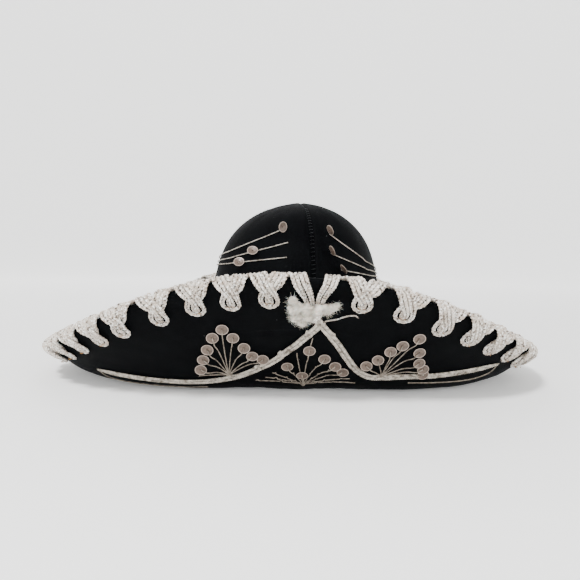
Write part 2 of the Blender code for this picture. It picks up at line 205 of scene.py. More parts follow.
def new_material(name):
    """A material, its node tree and its shader."""
    made = bpy.data.materials.new(name)
    made.use_nodes = True
    return made, made.node_tree, made.node_tree.nodes["Principled BSDF"]


def shader_sets(tree, shader, **sockets):
    for name, value in sockets.items():
        socket = shader.inputs[name.replace("_", " ")]
        if isinstance(value, bpy.types.NodeSocket):
            tree.links.new(value, socket)
        else:
            socket.default_value = value


def place_in(tree):
    """Coordinates in metres."""
    return add(tree, "TexCoord").outputs["Object"]


def noise(tree, at, size, detail, roughness=0.5):
    """Soft blotches of a size in metres."""
    return add(
        tree, "TexNoise", Vector=at, Scale=1 / size, Detail=detail, Roughness=roughness).outputs[0]


def waves(tree, value, rate):
    """0 to 1 and back as a value grows."""
    return maths(tree, "ABSOLUTE", maths(tree, "SINE", maths(tree, "MULTIPLY", value, rate)))


def uv_parts(tree, name):
    """The two coordinates of a UV map."""
    return add(tree, "SeparateXYZ", Vector=add(tree, "UVMap", uv_map=name).outputs[0]).outputs


def yarn_lines(tree, pitch, plies):
    """0 to 1 across the twisted plies of a yarn, whose UV is metres along it and turns round it."""
    uv = uv_parts(tree, "yarn")
    round_it = maths(tree, "MULTIPLY", uv[1], plies)
    return waves(tree, maths(tree, "MULTIPLY_ADD", uv[0], plies / pitch, round_it), PI)


def cotton_velvet():
    """Cotton velvet: a dense cut pile, brushed this way and that. It swallows light and only
    shows a cool bloom where it is seen along the surface, with a few specks of lint."""
    made, tree, shader = new_material("black_cotton_velvet")
    at = place_in(tree)
    brushed = noise(tree, at, 22 * MM, 3, 0.55)
    tufts = noise(tree, at, 1.4 * MM, 4, 0.7)
    pile = noise(tree, at, 0.45 * MM, 2)
    dark = blend(tree, ramp(tree, brushed, 0.35, 0.65), "#020203", "#050607")
    grain = blend(tree, ramp(tree, tufts, 0.45, 0.75), dark, "#0b0d0f")
    cell = add(tree, "TexVoronoi", Vector=at, Scale=1 / (7 * MM), Randomness=1)
    lint = maths(tree, "LESS_THAN", cell.outputs["Distance"], 0.03)
    pick = add(tree, "SeparateXYZ", Vector=cell.outputs["Color"]).outputs[0]
    few = maths(tree, "GREATER_THAN", pick, 0.7)
    colour = blend(tree, maths(tree, "MULTIPLY", lint, few), grain, "#6f7274")
    fine = add(tree, "Bump", Strength=0.5, Distance=0.25 * MM, Height=pile)
    rough = add(tree, "Bump", Strength=0.35, Distance=0.9 * MM, Height=brushed, Normal=fine.outputs[0])
    shader_sets(
        tree, shader, Base_Color=colour, Roughness=ramp(tree, tufts, -0.6, 1.1), Normal=rough.outputs[0],
        Sheen_Weight=0.018, Sheen_Roughness=0.3, Sheen_Tint=hex_colour("#8fa3b0"), Specular_IOR_Level=0.02)
    return made


def plaited_rayon():
    """Rayon yarn twisted with a metallised thread: warm white with random stains, silky along each
    ply, with points of the silver thread painted near white as a painted highlight, painted shade
    of brown in the hollows between the plies, and random dark brown specks."""
    made, tree, shader = new_material("white_rayon_braid")
    at = place_in(tree)
    plies = yarn_lines(tree, 2.0 * MM, 3)
    stain = noise(tree, at, 5 * MM, 4, 0.6)
    base = blend(tree, ramp(tree, stain, 0.38, 0.72), "#f2e9dd", "#bda995")
    # painted shade: the hollows between the plies are darkened towards brown
    shade = blend(tree, ramp(tree, plies, 0.0, 0.65), "#7a6a5b", base)
    cell = add(tree, "TexVoronoi", Vector=at, Scale=1 / (1.0 * MM))
    pick = add(tree, "SeparateXYZ", Vector=cell.outputs["Color"])
    # silver thread: metallic and smoother, its colour painted near white as a painted highlight
    silver_glint = maths(tree, "GREATER_THAN", pick.outputs[0], 0.78)
    # random dark brown specks
    dark_specks = maths(tree, "GREATER_THAN", pick.outputs[1], 0.87)
    colour = blend(tree, silver_glint, blend(tree, dark_specks, shade, "#55473b"), "#fffdf8")
    bump = add(tree, "Bump", Strength=0.9, Distance=0.25 * MM, Height=plies)
    shader_sets(
        tree, shader, Base_Color=colour, Metallic=maths(tree, "MULTIPLY", silver_glint, 0.5),
        Roughness=maths(tree, "MULTIPLY_ADD", silver_glint, -0.25, 0.55), Normal=bump.outputs[0],
        Sheen_Weight=0.1, Sheen_Roughness=0.4)
    return made


def lurex_thread(name, bright, dull_and_shade):
    """Metallised thread round a cotton core: glitters along its twist and has dulled with wear, and the
    hollows between its plies carry painted shade.
    """
    made, tree, shader = new_material(name)
    at = place_in(tree)
    plies = yarn_lines(tree, 1.3 * MM, 3)
    worn = noise(tree, at, 3 * MM, 4, 0.65)
    colour = blend(tree, ramp(tree, worn, 0.40, 0.66), bright, dull_and_shade)
    # painted shade: the hollows between the plies are darkened to the dull colour
    shade = blend(tree, ramp(tree, plies, 0.0, 0.5), dull_and_shade, colour)
    glint = ramp(tree, worn, 0.75, 0.35)
    bump = add(tree, "Bump", Strength=0.7, Distance=0.12 * MM, Height=plies)
    shader_sets(
        tree, shader, Base_Color=shade, Metallic=maths(tree, "MULTIPLY", glint, 0.75),
        Roughness=ramp(tree, worn, -0.2, 1.2), Normal=bump.outputs[0])
    return made


def sequin_film():
    """Metallised polyester film, pressed into a shallow cup: pinkish silver, cloudy with age,
    with fine rays from the pressing."""
    made, tree, shader = new_material("pearl_sequin_film")
    uv = uv_parts(tree, "disc")
    at = place_in(tree)
    cloud = noise(tree, at, 2.2 * MM, 3)
    rays = waves(tree, uv[0], 24 * PI)
    film = blend(tree, ramp(tree, cloud, 0.35, 0.7), "#5f4f44", "#352b24")
    rim = ramp(tree, uv[1], 0.86, 1.0)
    rayed = blend(tree, maths(tree, "MULTIPLY", rays, 0.3), film, "#8c7a6d")
    colour = blend(tree, rim, rayed, "#bfafa2")
    bump = add(tree, "Bump", Strength=0.3, Distance=0.1 * MM, Height=rays)
    shader_sets(
        tree, shader, Base_Color=colour, Metallic=0.2, Roughness=ramp(tree, cloud, -0.2, 1.4),
        Normal=bump.outputs[0], Coat_Weight=0.15, Coat_Roughness=0.2)
    return made


def frayed_cotton():
    """Teased cotton fibre: matt, and soft because light goes through it."""
    made, tree, shader = new_material("frayed_cotton_fibre")
    tint = noise(tree, place_in(tree), 4 * MM, 3)
    colour = blend(tree, ramp(tree, tint, 0.35, 0.7), "#d2cbbf", "#958d80")
    shader_sets(
        tree, shader, Base_Color=colour, Roughness=0.95, Sheen_Weight=0.3,
        Subsurface_Weight=0.25, Subsurface_Scale=2 * MM)
    return made


def pressed_board():
    """Pressed grey board, with flecks of the paper it is made from."""
    made, tree, shader = new_material("pressed_grey_board")
    fleck = noise(tree, place_in(tree), 1.2 * MM, 6)
    colour = blend(tree, ramp(tree, fleck, 0.4, 0.7), "#8d857a", "#aaa294")
    bump = add(tree, "Bump", Strength=0.3, Distance=0.1 * MM, Height=fleck)
    shader_sets(tree, shader, Base_Color=colour, Roughness=0.85, Normal=bump.outputs[0])
    return made


def drawn_wire():
    """Drawn steel wire, with fine lines from the die."""
    made, tree, shader = new_material("drawn_steel_wire")
    line = noise(tree, place_in(tree), 0.5 * MM, 2)
    colour = blend(tree, line, "#8b8b8c", "#b4b4b5")
    shader_sets(
        tree, shader, Base_Color=colour, Metallic=1.0, Roughness=ramp(tree, line, -0.8, 1.8))
    return made


def woven(name, thread, warp, weft, roughness, sheen=0.0):
    """A plain weave of two threads at right angles, for cloth that is a surface of revolution."""
    made, tree, shader = new_material(name)
    uv = uv_parts(tree, "cloth")
    lines = [waves(tree, uv[k], PI / thread) for k in (0, 1)]
    over = maths(tree, "MULTIPLY", lines[0], lines[1])
    colour = blend(tree, over, warp, weft)
    bump = add(tree, "Bump", Strength=0.5, Distance=thread * 0.2, Height=over)
    shader_sets(
        tree, shader, Base_Color=colour, Roughness=roughness, Normal=bump.outputs[0],
        Sheen_Weight=sheen, Sheen_Roughness=0.4)
    return made


def studio_paper():
    """Pale seamless paper. It glows a little away from the hat, so the whole sweep reads white."""
    made, tree, shader = new_material("studio_paper")
    grain = add(tree, "TexNoise", Vector=place_in(tree), Scale=400, Detail=4).outputs[0]
    colour = blend(tree, grain, "#f8f8f7", "#fbfbfa")
    reach = add(tree, "VectorMath", operation="LENGTH", i0=place_in(tree)).outputs["Value"]
    shader_sets(
        tree, shader, Base_Color=colour, Roughness=0.9, Emission_Color=colour,
        Emission_Strength=maths(tree, "MULTIPLY_ADD", ramp(tree, reach, 0.3, 1.6), 0.85, 0.2))
    return made


VELVET = cotton_velvet()
RAYON = plaited_rayon()
SILVER = lurex_thread("silver_lurex_thread", "#e2dacd", "#5f5448")
GREY_SILVER = lurex_thread("worn_lurex_thread", "#b3a89a", "#5a5046")
TAN_THREAD = lurex_thread("tan_sewing_thread", "#b98a4e", "#7a5730")
BLACK_THREAD = lurex_thread("black_sewing_thread", "#24272a", "#0c0d0e")
FILM = sequin_film()
COTTON = frayed_cotton()
SATIN = woven("black_lining_satin", 0.5 * MM, "#0b0b0d", "#1a1a1e", 0.38, 0.2)
RIBBON = woven("black_petersham_ribbon", 1.1 * MM, "#08080a", "#17181b", 0.6)


# ---------------------------------------------------------------- meshes

PLY_SHARE = 0.58                # half width of a ply, in shares of its thread's


def put(name, data):
    """A new object in the scene."""
    made = bpy.data.objects.new(name, data)
    bpy.context.scene.collection.objects.link(made)
    return made


def add_piece(name, points, faces, finish, uv=None, uv_name="yarn"):
    """A shaded mesh that moves with the hat. uv holds a pair for each corner of each face."""
    mesh = bpy.data.meshes.new(name)
    mesh.from_pydata(points.tolist(), [], faces)
    mesh.shade_smooth()
    if uv is not None:
        layer = mesh.uv_layers.new(name=uv_name)
        layer.data.foreach_set("uv", np.asarray(uv, np.float32).ravel())
    mesh.materials.append(finish)
    piece = put(name, mesh)
    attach(piece, "root")
    return piece


def grid_quads(rows, columns, last):
    """The faces of a grid of points that joins up after its last column, and where each starts."""
    i, j = np.meshgrid(np.arange(rows - 1), np.arange(last), indexing="ij")
    k = (j + 1) % columns
    quads = np.stack([i * columns + j, i * columns + k, (i + 1) * columns + k, (i + 1) * columns + j], -1)
    return quads.reshape(-1, 4), i, j


def frame_along(points, away):
    """Across and outer directions at each point of a path."""
    ahead = unit(np.gradient(points, axis=0))
    across = unit(np.cross(away, ahead))
    return across, np.cross(ahead, across)


def lengths(points):
    return np.concatenate([[0], np.cumsum(np.linalg.norm(np.diff(points, axis=0), axis=1))])


def smooth_line(stops, pieces):
    """Rows of numbers read along a smooth curve through the stops."""
    stops = np.asarray(stops, float)
    ends = np.vstack([2 * stops[0] - stops[1], stops, 2 * stops[-1] - stops[-2]])
    t = np.linspace(0, 1, pieces, endpoint=False)[:, None]
    rows = []
    for p0, p1, p2, p3 in zip(ends, ends[1:], ends[2:], ends[3:]):
        rows.append(p1 + 0.5 * t * (p2 - p0 + t * (
            2 * p0 - 5 * p1 + 4 * p2 - p3 + t * (3 * (p1 - p2) + p3 - p0))))
    return np.vstack([*rows, stops[-1:]])


def evenly(points, step, *more):
    """A path and what goes with it, read again at even steps along it."""
    at = lengths(points)
    wanted = np.linspace(0, at[-1], max(3, int(round(at[-1] / step)) + 1))
    columns = [points, *more]
    return [
        np.stack([np.interp(wanted, at, c[:, k]) for k in range(c.shape[1])], -1) if c.ndim > 1
        else np.interp(wanted, at, c) for c in columns]


def tubes(name, strands, sides, finish):
    """Strands as closed tubes in one mesh. A strand is its points, the directions away from the
    hat, and its half widths across and away, each a number or one for each point."""
    points, faces, uv = [], [], []
    first = 0
    turns = np.arange(sides) * 2 * PI / sides
    for centre, away, wide, deep in strands:
        across, outer = frame_along(centre, away)
        count = len(centre)
        wide, deep = [np.broadcast_to(v, count)[:, None, None] for v in (wide, deep)]
        ring = (
            centre[:, None] + across[:, None] * np.cos(turns)[None, :, None] * wide
            + outer[:, None] * np.sin(turns)[None, :, None] * deep)
        points.append(ring.reshape(-1, 3))
        quads, i, j = grid_quads(count, sides, sides)
        faces += (first + quads).tolist()
        at = lengths(centre)
        round_at, round_next = j / sides, (j + 1) / sides
        corners = [(at[i], round_at), (at[i], round_next), (at[i + 1], round_next), (at[i + 1], round_at)]
        uv.append(np.stack([np.stack(c, -1) for c in corners], 2).reshape(-1, 2))
        last = first + (count - 1) * sides
        faces += [[first + s for s in range(sides)][::-1], [last + s for s in range(sides)]]
        uv.append(np.repeat([[0, 0], [at[-1], 0]], sides, axis=0))
        first += count * sides
    return add_piece(name, np.vstack(points), faces, finish, np.vstack(uv))


def beside(path, across, outer, off, lift):
    """A path moved across and outwards at each of its points."""
    return path + across * off[:, None] + outer * lift[:, None]


def plait(path, away, width, ribs=2, lay=6 * MM, depth=0.35 * MM):
    """The yarns of a flat braid: ribs side by side, each a plait of three yarns."""
    across, outer = frame_along(path, away)
    at = lengths(path)
    width = np.broadcast_to(width, len(path))
    half = width / ribs / 2
    yarn = half * 0.46
    strands = []
    for rib in range(ribs):
        middle = width * ((rib + 0.5) / ribs - 0.5)
        hand = 1 if rib % 2 else -1
        for j in range(3):
            turn = 2 * PI * (at / lay + j / 3)
            off = middle + hand * (half - yarn) * np.sin(turn)
            centre = beside(path, across, outer, off, depth * np.sin(2 * turn))
            strands.append((centre, outer, yarn * 1.12, yarn * 0.72))
    return strands


def cords(path, away, width, gap, lay=4.6 * MM):
    """Four twisted two-ply cords sewn side by side, each laid against its neighbours' hand. The
    gap parts the outer pair from the inner one."""
    across, outer = frame_along(path, away)
    at = lengths(path)
    radius = (width - gap) / 8 * 1.10
    ply = radius * PLY_SHARE
    strands = []
    for cord, share in enumerate((-0.375, -0.125, 0.125, 0.375)):
        middle = (width - gap) * share + gap / 2 * math.copysign(1, share)
        hand = 1 if cord % 2 else -1
        for j in (0, 1):
            turn = hand * 2 * PI * (at / lay + j / 2 + cord * 0.13)
            off = middle + (radius - ply) * np.cos(turn)
            centre = beside(path, across, outer, off, (radius - ply) * np.sin(turn))
            strands.append((centre, outer, ply, ply))
    return strands


def twisted(path, away, radius, pitch=2.2 * MM):
    """The two plies of a twisted thread."""
    across, outer = frame_along(path, away)
    at = lengths(path)
    ply = radius * PLY_SHARE
    strands = []
    for j in (0, 1):
        turn = 2 * PI * (at / pitch + j / 2)
        centre = beside(path, across, outer, (radius - ply) * np.cos(turn), (radius - ply) * np.sin(turn))
        strands.append((centre, outer, ply, ply))
    return strands


# ---------------------------------------------------------------- velvet, lining and sweatband

PILE = 0.8 * MM                 # thickness of the velvet


def cloth(name, points, thickness, finish, closed, replaced):
    """A sheet of cloth over a grid of points, thick on its inner side."""
    rows, columns = points.shape[:2]
    last = columns if closed else columns - 1
    faces, i, j = grid_quads(rows, columns, last)
    down = lengths(points[:, 0])
    longest = max(lengths(row)[-1] for row in points)
    aside = np.linspace(0, longest, last + 1)
    corners = [
        (aside[j], down[i]), (aside[j + 1], down[i]),
        (aside[j + 1], down[i + 1]), (aside[j], down[i + 1])]
    uv = np.stack([np.stack(c, -1) for c in corners], 2).reshape(-1, 2)
    piece = add_piece(name, points.reshape(-1, 3), faces.tolist(), finish, uv, "cloth")
    solid = piece.modifiers.new("thickness", "SOLIDIFY")
    solid.thickness = thickness
    solid.offset = -1
    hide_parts(*replaced)
    return piece


def ripple(angle, drop):
    """Small unevenness of cloth that is glued down by hand."""
    turn = np.radians(angle)
    return MM * (
        0.22 * np.sin(7 * turn + 1.3 + drop * 60) + 0.16 * np.sin(13 * turn - 0.4 - drop * 95)
        + 0.10 * np.sin(29 * turn + 2.1 + drop * 150) + 0.06 * np.sin(53 * turn - drop * 310))


def brim_velvet():
    """The under skin goes round the rim and is turned down on the upper one."""
    columns = 360
    angle = np.arange(columns) * 360 / columns
    drops = np.concatenate([
        np.linspace(BRIM_WIDTH, 1 * MM, 62), -HALF_TURN * np.linspace(0, 1, 9),
        -HALF_TURN - np.array([3, 7]) * MM])
    drop, around = [v.astype(float) for v in np.meshgrid(drops, angle, indexing="ij")]
    calm = smooth((drop - 2 * MM) / (10 * MM)) * smooth((BRIM_WIDTH - drop) / (10 * MM))
    hem = np.where(drop < -HALF_TURN, 0.35 * MM, 0)
    points, _ = over_brim(around, drop, ripple(around, drop) * calm + hem)
    under = cloth("velvet_under_skin", points, PILE, VELVET, True, ["brim_velvet_under"])
    drops = np.linspace(3 * MM, BRIM_WIDTH, 60)
    drop, around = [v.astype(float) for v in np.meshgrid(drops, angle, indexing="ij")]
    calm = smooth((BRIM_WIDTH - drop) / (12 * MM))
    points, _ = over_brim(around, -HALF_TURN - drop, ripple(around + 40, drop) * calm)
    upper = cloth("velvet_upper_skin", points, PILE, VELVET, True, ["brim_velvet_upper"])


def crown_velvet():
    """Four gores, which puff a little between their seams."""
    columns, rows = 26, 64
    whole = PROFILE_LENGTH[-1]
    for i in range(PANELS):
        climb, share = np.meshgrid(
            np.linspace(0, whole - 1.2 * MM, rows), np.linspace(0, 1, columns), indexing="ij")
        angle = SEAM_ANGLE + 360 / PANELS * (i + share)
        radius = np.interp(climb, PROFILE_LENGTH, PROFILE[:, 0])
        to_seam = np.minimum(share, 1 - share) * radius * 2 * PI / PANELS
        tuck = -1.0 * MM * np.exp(-(to_seam / (1.3 * MM))**2)
        puff = 0.4 * MM * smooth(to_seam / (16 * MM))
        crease = ripple(angle * 2, climb) * 0.4 * smooth(to_seam / (8 * MM))
        points, _ = crown_at(angle, climb, tuck + puff + crease)
        gore = cloth(
            f"crown_gore_{i + 1}", points, PILE, VELVET, False,
            [f"crown_velvet_panel_{i + 1}"])


def seam_stitches():
    """Black ladder stitches over the seams of the gores."""
    strands = []
    for i in range(PANELS):
        for climb in np.arange(9, 150, 3.4) * MM:
            radius = np.interp(climb, PROFILE_LENGTH, PROFILE[:, 0])
            half = math.degrees(1.4 * MM / radius)
            share = np.linspace(-1, 1, 7)
            angle = SEAM_ANGLE + 360 / PANELS * i + half * share
            over = 0.25 * MM * (1 - share**4) - 0.35 * MM * share**2
            points, away = crown_at(angle, climb + 0.25 * MM * share, over)
            strands.append((points, away, 0.22 * MM, 0.22 * MM))
    tubes("crown_seam_stitches", strands, 6, BLACK_THREAD)


def inside():
    """The lining and the sweatband, which show from below."""
    columns = 144
    angle = np.arange(columns) * 360 / columns
    whole = PROFILE_LENGTH[-1]
    climb, around = np.meshgrid(np.linspace(0, whole - 0.3 * MM, 50), angle, indexing="ij")
    gather = 0.35 * MM * np.sin(np.radians(around) * 48) * smooth(climb / whole)
    points, _ = crown_at(around, climb, -3.9 * MM + gather)
    lining = cloth(
        "satin_crown_lining", points[::-1], 0.4 * MM, SATIN, True, ["crown_lining"])
    foot, top = [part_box("sweatband")[k][2] for k in (0, 1)]
    height, around = np.meshgrid(np.linspace(top, foot, 24), angle, indexing="ij")
    rib = 0.12 * MM * np.cos(height * 2 * PI / (2.5 * MM))
    points, _ = crown_at(around, climb_to(np.maximum(height, PROFILE[0, 1])), -6.0 * MM + rib)
    points[..., 2] = height
    band = cloth("petersham_sweatband", points, 0.6 * MM, RIBBON, True, ["sweatband"])


# ---------------------------------------------------------------- edge braid

RIM_ANGLES = KNOT_ANGLE + np.arange(1441) / 4
RIM_LENGTH = lengths(brim_point(RIM_ANGLES, np.full_like(RIM_ANGLES, BRIM_WIDTH)))
# Middles of the loops beside the knot, in degrees: the hand that sewed them spaced them unevenly
RIGHT_LOOPS = (15.4, 25.4, 34.4, 42.7, 50.2)
LEFT_LOOPS = (321.7, 331.3, 339.8, 347.6, 355.4)
LEANS = {321.7: -5.5, 331.3: -4.5, 339.8: -4.0, 347.6: -3.5, 355.4: -1.0, 15.4: 1.0, 34.4: 1.5}
OTHER_LOOPS = 33
PITCH = 27                      # mm along the rim from loop to loop, where LOOP isn't stretched
# On the upper side the braid turns back half way between two loops: drop, height, width and gap
UPPER_TURN = (-16.5, 1.3, 7.0, 0)
LOOP_REACH, LEG_REACH = 9.9, 12.6       # mm along the rim, to where a loop and a leg go over it
# One loop of the braid, from rim crest to rim crest, in mm: along the rim from the loop's
# middle, drop, height of its middle over the velvet, width, and the gap between its cords
LOOP = np.array([
    (-9.6, -11.5, 1.8, 9.2, 0), (-6.3, -6.6, 2.5, 10.8, 0), (-2.9, -1.5, 2.7, 10.4, 0),
    (-0.3, 3.0, 3.1, 9.4, 0), (2.0, 7.3, 3.1, 8.0, 0.2), (3.4, 12.0, 2.6, 6.9, 1.1),
    (2.9, 15.6, 1.8, 6.3, 0.9), (0.0, 17.5, 1.5, 6.0, 0.3), (-2.9, 15.6, 1.3, 6.3, 0.9),
    (-3.5, 12.0, 1.3, 6.9, 1.1), (-2.3, 7.3, 1.2, 7.6, 0.2), (0.1, 3.0, 1.2, 8.8, 0),
    (2.9, -1.5, 1.6, 10.0, 0), (6.3, -6.6, 2.1, 10.6, 0), (9.6, -11.5, 1.6, 9.2, 0)])
# The two ends of the braid, from the upper side to the knot: the same five numbers
LEG_RIGHT = [
    (9.6, -11.0, 1.6, 9.0, 0), (8.4, -6.0, 2.4, 9.0, 0.2), (5.6, 2.0, 1.9, 8.0, 0.4),
    (3.4, 9.0, 1.8, 6.6, 0.5), (2.2, 16.0, 2.2, 5.0, 0)]
LEG_LEFT = [
    (-12.6, -11.0, 1.6, 9.6, 0), (-11.2, -6.0, 2.4, 10.4, 0.2), (-8.2, 2.0, 1.9, 9.6, 0.4),
    (-5.6, 9.0, 1.8, 7.6, 0.5), (-3.6, 16.0, 2.2, 5.6, 0)]


def rim_angle(distance):
    return np.interp(distance, RIM_LENGTH, RIM_ANGLES)


def rim_distance(angle):
    return float(np.interp(angle, RIM_ANGLES, RIM_LENGTH)) / MM


def loop_places():
    """Distance in mm along the rim from the knot to the middle of each loop, and each one's lean."""
    right = [(rim_distance(a), LEANS.get(a, 0.0)) for a in RIGHT_LOOPS]
    left = [(rim_distance(a), LEANS.get(a, 0.0)) for a in LEFT_LOOPS]
    between = np.linspace(right[-1][0], left[0][0], OTHER_LOOPS + 2)[1:-1]
    return right + [(place, draw.uniform(-2, 2)) for place in between] + left


def edge_braid():
    """One braid from the knot, in loops all the way round the rim, and back to the knot."""
    places = loop_places()
    stops = LEG_RIGHT[::-1]
    end = RIM_LENGTH[-1] / MM
    for i, (place, lean) in enumerate(places):
        if i:
            turn_back = (places[i - 1][0] + place) / 2
        else:
            turn_back = LEG_REACH + (place - LEG_REACH - LOOP_REACH) / 2
        stops.append((turn_back, *UPPER_TURN))
        to_next = (places[i + 1][0] - place) if i < len(places) - 1 else PITCH
        to_last = (place - places[i - 1][0]) if i else PITCH
        aside = abs(math.sin(math.radians(float(rim_angle(place * MM)))))
        hang = 1 - 0.22 * aside + draw.uniform(-0.04, 0.04)     # shorter loops at the sides
        for s, drop, height, width, gap in LOOP:
            # A loop reaches for its neighbours at the rim, and keeps its own width lower down
            low = smooth(drop / 12)
            stretch = (to_last if s < 0 else to_next) / PITCH
            spread = stretch + (1 - stretch) * smooth((drop + 4) / 10)
            hung = drop * (hang if drop > 0 else 1) + draw.uniform(-0.2, 0.2)
            stops.append(
                (place + s * spread + lean * low, hung, height, width * draw.uniform(0.97, 1.03), gap))
    stops.append(((places[-1][0] + LOOP_REACH + end - LEG_REACH) / 2, *UPPER_TURN))
    stops += [(end + s, *rest) for s, *rest in LEG_LEFT]
    line = smooth_line(stops, 12)
    points, away = over_brim(rim_angle(line[:, 0] * MM), line[:, 1] * MM, line[:, 2] * MM)
    path, away, width, gap = evenly(
        points, 0.85 * MM, away, line[:, 3] * MM, np.maximum(line[:, 4], 0) * MM)
    half = len(path) // 2
    for side, part, order in (("right", slice(0, half + 1), 1), ("left", slice(half, None), -1)):
        strands = cords(*[v[part][::order] for v in (path, away, width, gap)])
        braid = tubes(f"looped_edge_braid_{side}", strands, 5, RAYON)
        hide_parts("edge_braid", f"knot_leg_{side}")
    stitches([place + lean for place, lean in places])


def stitches(places):
    """A tan stitch holds the bottom of each loop."""
    strands = []
    for place in places:
        drop = 13.5 + draw.uniform(-1, 1)
        for side in (-1, 1):
            share = np.linspace(-1, 1, 7)
            s = side * 1.6 + 1.1 * share + draw.uniform(-0.3, 0.3)
            points, away = over_brim(
                rim_angle((place + s) * MM), (drop + 0.5 * share) * MM, (3.9 - 0.5 * share**2) * MM)
            strands.append((points, away, 0.2 * MM, 0.2 * MM))
    tubes("loop_stitches", strands, 5, TAN_THREAD)


# ---------------------------------------------------------------- scroll braid and leaf threads

SCROLL_RIGHT = [
    (6.0, 0.030), (8.8, 0.040), (12.8, 0.052), (17.0, 0.065), (21.0, 0.0735), (25.5, 0.0768),
    (30.0, 0.0726), (36.6, 0.0625), (43.5, 0.052), (52.0, 0.035), (58.5, 0.020)]
SCROLL_LEFT = [
    (7.6, 0.032), (5.9, 0.041), (3.4, 0.0485), (0.0, 0.059), (-7.3, 0.0743), (-14.0, 0.0810),
    (-20.5, 0.0838), (-28.0, 0.0812), (-36.0, 0.0735), (-44.3, 0.0607), (-52.0, 0.0465), (-58.7, 0.033)]
LEAF_RIGHT = [(59.0, 0.021), (60.0, 0.031), (56.0, 0.043), (47.0, 0.057), (38.5, 0.0685)]
LEAF_LEFT = [
    (-59.0, 0.034), (-59.8, 0.042), (-57.0, 0.052), (-50.0, 0.065), (-42.0, 0.077), (-33.0, 0.087)]


def on_brim_line(stops, height, pieces, step, turn=0.0):
    """A path on the brim through (angle, drop) stops."""
    line = smooth_line(stops, pieces)
    points, away = over_brim(line[:, 0] + turn, line[:, 1], height)
    return evenly(points, step, away)


def scrolls():
    for end, turn in (("front", 0), ("back", 180)):
        for side, route, leaf in (("right", SCROLL_RIGHT, LEAF_RIGHT), ("left", SCROLL_LEFT, LEAF_LEFT)):
            path, away = on_brim_line(route, 1.1 * MM, 24, 0.6 * MM, turn)
            at = lengths(path)
            taper = 0.55 + 0.45 * smooth((at[-1] - at) / (14 * MM))
            yarns = plait(path, away, 5.6 * MM * taper, lay=4.4 * MM, depth=0.3 * MM)
            braid = tubes(f"scroll_{end}_{side}", yarns, 5, SILVER)
            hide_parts(f"scroll_braid_{end}_{side}")
            path, away = on_brim_line(leaf, 0.5 * MM, 16, 0.35 * MM, turn)
            thread = tubes(
                f"leaf_{end}_{side}", twisted(path, away, 0.5 * MM), 5, GREY_SILVER)
            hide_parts(f"leaf_thread_{end}_{side}")


# ---------------------------------------------------------------- sprays of sequins

# Where the stems of a spray meet, then each stem's end, as (angle, drop in mm), and the share of
# its length at which its sequin sits, which is none on a bare stem
SPRAY_LEFT = ((-22.8, 80), [
    (-29.6, 66.0, 1), (-27.1, 57.7, 1), (-24.4, 49.8, 1), (-21.5, 40.5, 1), (-18.1, 34.8, 1),
    (-16.4, 44.5, 1), (-14.5, 55.9, 1), (-13.0, 65.4, 1), (-10.0, 70.0, 1), (-31.5, 71.5, 0)])
SPRAY_CENTRE = ((3.6, 101), [
    (-2.3, 79.4, 1), (3.0, 88.5, 1), (5.6, 49.0, 0.75), (10.0, 68.3, 1), (14.1, 75.0, 1),
    (17.2, 79.5, 1), (1.1, 67.5, 0), (-7.9, 86.5, 0), (-11.0, 90.5, 0), (-15.0, 93, 0), (20.5, 85, 0),
    (23.0, 88, 0)])
SPRAY_RIGHT = ((29.4, 72), [
    (23.4, 66.5, 1), (25.6, 57.3, 1), (27.4, 45.8, 1), (29.3, 37.0, 1), (31.9, 26.0, 1),
    (34.3, 37.6, 1), (36.3, 46.5, 1), (38.6, 50.5, 1), (39.8, 55.0, 1)])
SPRAYS = (("left", SPRAY_LEFT), ("centre", SPRAY_CENTRE), ("right", SPRAY_RIGHT))
SEQUIN_RADIUS = 4.1 * MM
STEM_POINTS = 70
STEM_HEIGHT = 0.85              # mm from the velvet to the middle of a stem
DISC_EDGE = 4.3                 # mm from a sequin's middle to where its stem comes off it
HUB_RADIUS = 110 * MM           # from the middle of the hat to the place of a hub


def sequin_mesh():
    """A shallow cup with a hole in its middle: (radius, height) pairs over its two faces."""
    segments, film = 32, 0.15
    face = [(0.45, 0.0), (1.5, 0.05), (2.9, 0.38), (3.9, 0.62), (4.1, 0.64)]
    profile = np.array(face + [(r, z + film) for r, z in face[::-1]]) * MM
    turns = np.arange(segments) * 2 * PI / segments
    points = np.stack([
        profile[:, 0, None] * np.cos(turns), profile[:, 0, None] * np.sin(turns),
        np.repeat(profile[:, 1, None], segments, axis=1)], -1)
    count = len(profile)
    faces, uv = [], []
    for i in range(count):
        for j in range(segments):
            n, k = (i + 1) % count, (j + 1) % segments
            faces.append([i * segments + j, n * segments + j, n * segments + k, i * segments + k])
            low, high = profile[i, 0] / SEQUIN_RADIUS, profile[n, 0] / SEQUIN_RADIUS
            uv += [
                (j / segments, low), (j / segments, high),
                ((j + 1) / segments, high), ((j + 1) / segments, low)]
    mesh = bpy.data.meshes.new("cup_sequin")
    mesh.from_pydata(points.reshape(-1, 3).tolist(), [], faces)
    mesh.shade_smooth()
    mesh.uv_layers.new(name="disc").data.foreach_set("uv", np.asarray(uv, np.float32).ravel())
    mesh.materials.append(FILM)
    return mesh


CUP = sequin_mesh()


def add_sequin(name, point, away, lean, way, replaced=None):
    """A sequin on the velvet. It leans by some degrees, one way round from its right."""
    piece = put(name, CUP)
    turn = Vector(away).to_track_quat("Z", "Y").to_matrix()
    around = Matrix.Rotation(math.radians(way), 3, "Z")
    leant = turn @ around @ Matrix.Rotation(math.radians(lean), 3, "Y") @ around.inverted()
    piece.matrix_world = Matrix.Translation(Vector(point)) @ leant.to_4x4()
    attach(piece, "root")
    if replaced:
        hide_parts(replaced)


